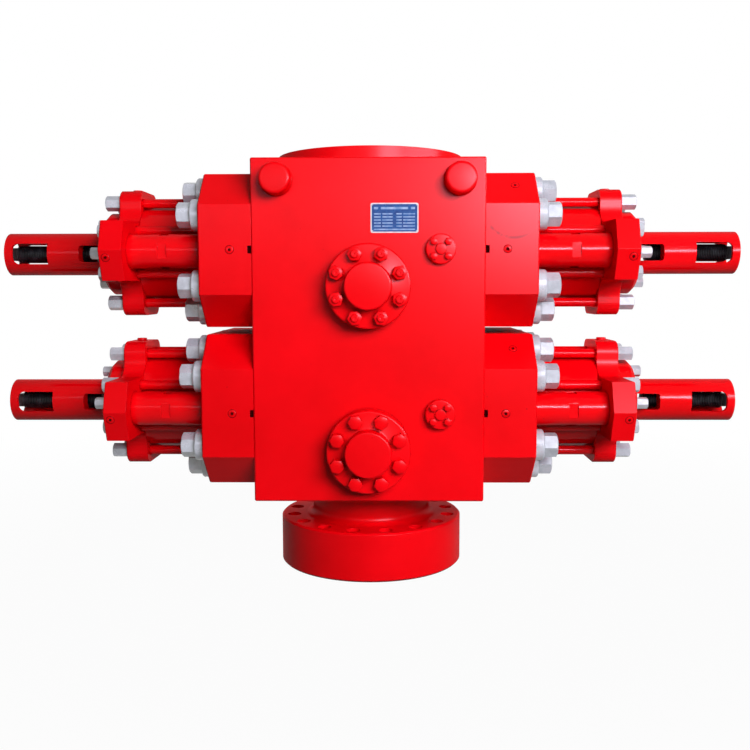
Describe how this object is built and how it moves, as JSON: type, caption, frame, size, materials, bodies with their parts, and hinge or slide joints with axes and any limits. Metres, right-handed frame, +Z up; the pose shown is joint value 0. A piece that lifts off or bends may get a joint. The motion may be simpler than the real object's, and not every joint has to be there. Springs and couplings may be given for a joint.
{
  "type": "double ram blowout preventer",
  "caption": "Well-head blowout preventer: a forged body with a vertical bore, flanged below and studded on top, with hydraulic rams, bonnets and locking screws on both sides.",
  "frame": {"origin": "centre of the bottom flange's lower face, on the bore axis", "axes": "+Z up the well bore, +X along the rams to the right as seen from the front, -Y out of the front face with the port covers"},
  "size_m": [2.598, 0.976, 1.444],
  "materials": {
    "red_paint": "gloss",
    "zinc_plated_steel": "satin",
    "black_oxide_steel": "satin",
    "ram_steel": "ground"
  },
  "bodies": {
    "preventer": {"body": "red_paint", "upper_shear_rams": "ram_steel", "lower_pipe_rams": "ram_steel", "upper_outlet_flanges": "red_paint", "lower_outlet_flanges": "red_paint", "upper_outlet_nuts": "red_paint", "lower_outlet_nuts": "red_paint", "port_covers": "red_paint", "lifting_pins": "red_paint", "lower_right_bonnet": "red_paint", "lower_right_bonnet_bolts": "zinc_plated_steel", "lower_right_operating_cylinder": "red_paint", "lower_right_change_cylinders": "red_paint", "lower_right_tie_rods": "red_paint", "lower_right_cylinder_head": "red_paint", "lower_right_head_nuts": "zinc_plated_steel", "lower_right_lock_housing": "red_paint", "lower_left_bonnet": "red_paint", "lower_left_bonnet_bolts": "zinc_plated_steel", "lower_left_operating_cylinder": "red_paint", "lower_left_change_cylinders": "red_paint", "lower_left_tie_rods": "red_paint", "lower_left_cylinder_head": "red_paint", "lower_left_head_nuts": "zinc_plated_steel", "lower_left_lock_housing": "red_paint", "upper_right_bonnet": "red_paint", "upper_right_bonnet_bolts": "zinc_plated_steel", "upper_right_operating_cylinder": "red_paint", "upper_right_change_cylinders": "red_paint", "upper_right_tie_rods": "red_paint", "upper_right_cylinder_head": "red_paint", "upper_right_head_nuts": "zinc_plated_steel", "upper_right_lock_housing": "red_paint", "upper_left_bonnet": "red_paint", "upper_left_bonnet_bolts": "zinc_plated_steel", "upper_left_operating_cylinder": "red_paint", "upper_left_change_cylinders": "red_paint", "upper_left_tie_rods": "red_paint", "upper_left_cylinder_head": "red_paint", "upper_left_head_nuts": "zinc_plated_steel", "upper_left_lock_housing": "red_paint"},
    "lower_right_screw": {"lower_right_lock_screw": "black_oxide_steel"},
    "lower_left_screw": {"lower_left_lock_screw": "black_oxide_steel"},
    "upper_right_screw": {"upper_right_lock_screw": "black_oxide_steel"},
    "upper_left_screw": {"upper_left_lock_screw": "black_oxide_steel"}
  },
  "joints": [
    {"name": "lower_right_screw_in", "type": "slide", "parent": "preventer", "child": "lower_right_screw", "axis": [-1, 0, 0], "range_m": [0, 0.145]},
    {"name": "lower_left_screw_in", "type": "slide", "parent": "preventer", "child": "lower_left_screw", "axis": [1, 0, 0], "range_m": [0, 0.145]},
    {"name": "upper_right_screw_in", "type": "slide", "parent": "preventer", "child": "upper_right_screw", "axis": [-1, 0, 0], "range_m": [0, 0.145]},
    {"name": "upper_left_screw_in", "type": "slide", "parent": "preventer", "child": "upper_left_screw", "axis": [1, 0, 0], "range_m": [0, 0.145]}
  ]
}
